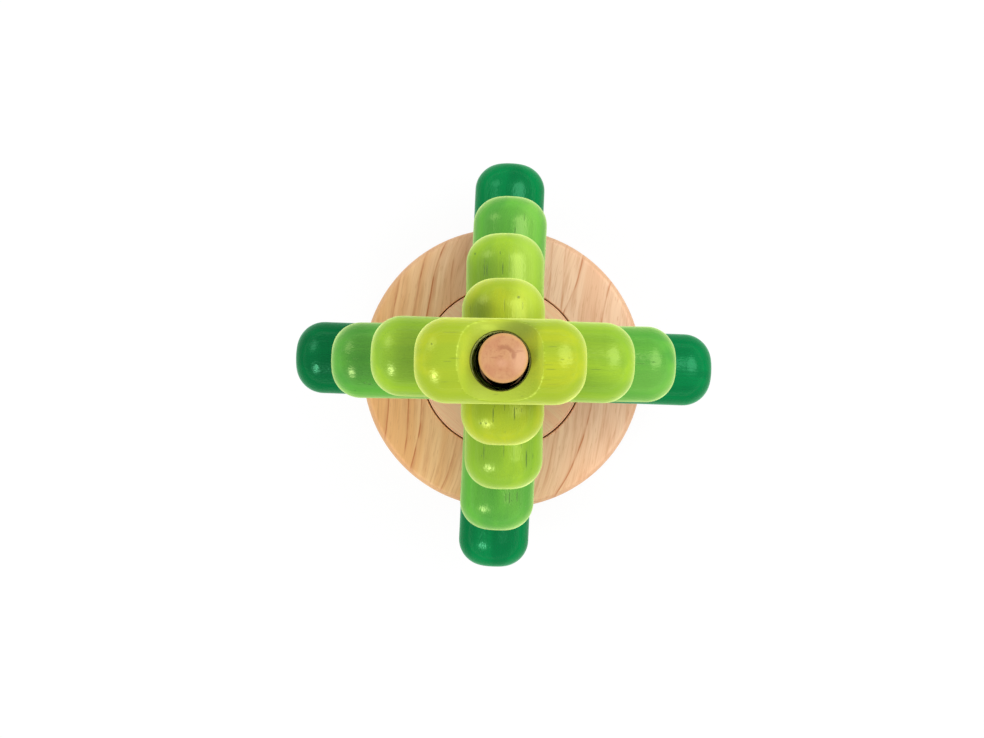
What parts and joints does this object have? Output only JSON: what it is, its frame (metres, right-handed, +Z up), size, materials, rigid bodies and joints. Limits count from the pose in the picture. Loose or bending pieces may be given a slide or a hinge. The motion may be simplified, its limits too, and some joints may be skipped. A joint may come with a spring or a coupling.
{
  "type": "stacking tree toy",
  "caption": "Wooden stacking tree: crosswise round-ended dowels with saddles and bores, in shades of green, threaded on a post in a round base.",
  "frame": {"origin": "centre of the base's underside, on the post's axis", "axes": "+Z up along the post; the lowest branch lies along Y and the next one up along X"},
  "size_m": [0.174, 0.1741, 0.1895],
  "materials": {
    "pale_wood": "clear satin lacquer",
    "hub_wood": "clear satin lacquer",
    "post_wood": "clear satin lacquer",
    "dark_green_stain": "dark green stain, glossy",
    "mid_green_stain": "mid green stain, glossy",
    "lime_green_stain": "lime green stain, glossy",
    "yellow_green_stain": "yellow green stain, glossy"
  },
  "bodies": {
    "base": {"base_disc": "pale_wood", "base_hub": "hub_wood", "trunk_post": "post_wood"},
    "branch_1": {"branch_1": "dark_green_stain"},
    "branch_2": {"branch_2": "dark_green_stain"},
    "branch_3": {"branch_3": "mid_green_stain"},
    "branch_4": {"branch_4": "mid_green_stain"},
    "branch_5": {"branch_5": "lime_green_stain"},
    "branch_6": {"branch_6": "lime_green_stain"},
    "branch_7": {"branch_7": "yellow_green_stain"},
    "branch_8": {"branch_8": "yellow_green_stain"}
  },
  "joints": [
    {"name": "lift_branch_1", "type": "slide", "parent": "base", "child": "branch_1", "axis": [0, 0, 1], "range_m": [0, 0.172]},
    {"name": "lift_branch_2", "type": "slide", "parent": "branch_1", "child": "branch_2", "axis": [0, 0, 1], "range_m": [0, 0.152]},
    {"name": "lift_branch_3", "type": "slide", "parent": "branch_2", "child": "branch_3", "axis": [0, 0, 1], "range_m": [0, 0.132]},
    {"name": "lift_branch_4", "type": "slide", "parent": "branch_3", "child": "branch_4", "axis": [0, 0, 1], "range_m": [0, 0.112]},
    {"name": "lift_branch_5", "type": "slide", "parent": "branch_4", "child": "branch_5", "axis": [0, 0, 1], "range_m": [0, 0.092]},
    {"name": "lift_branch_6", "type": "slide", "parent": "branch_5", "child": "branch_6", "axis": [0, 0, 1], "range_m": [0, 0.072]},
    {"name": "lift_branch_7", "type": "slide", "parent": "branch_6", "child": "branch_7", "axis": [0, 0, 1], "range_m": [0, 0.052]},
    {"name": "lift_branch_8", "type": "slide", "parent": "branch_7", "child": "branch_8", "axis": [0, 0, 1], "range_m": [0, 0.032]}
  ]
}
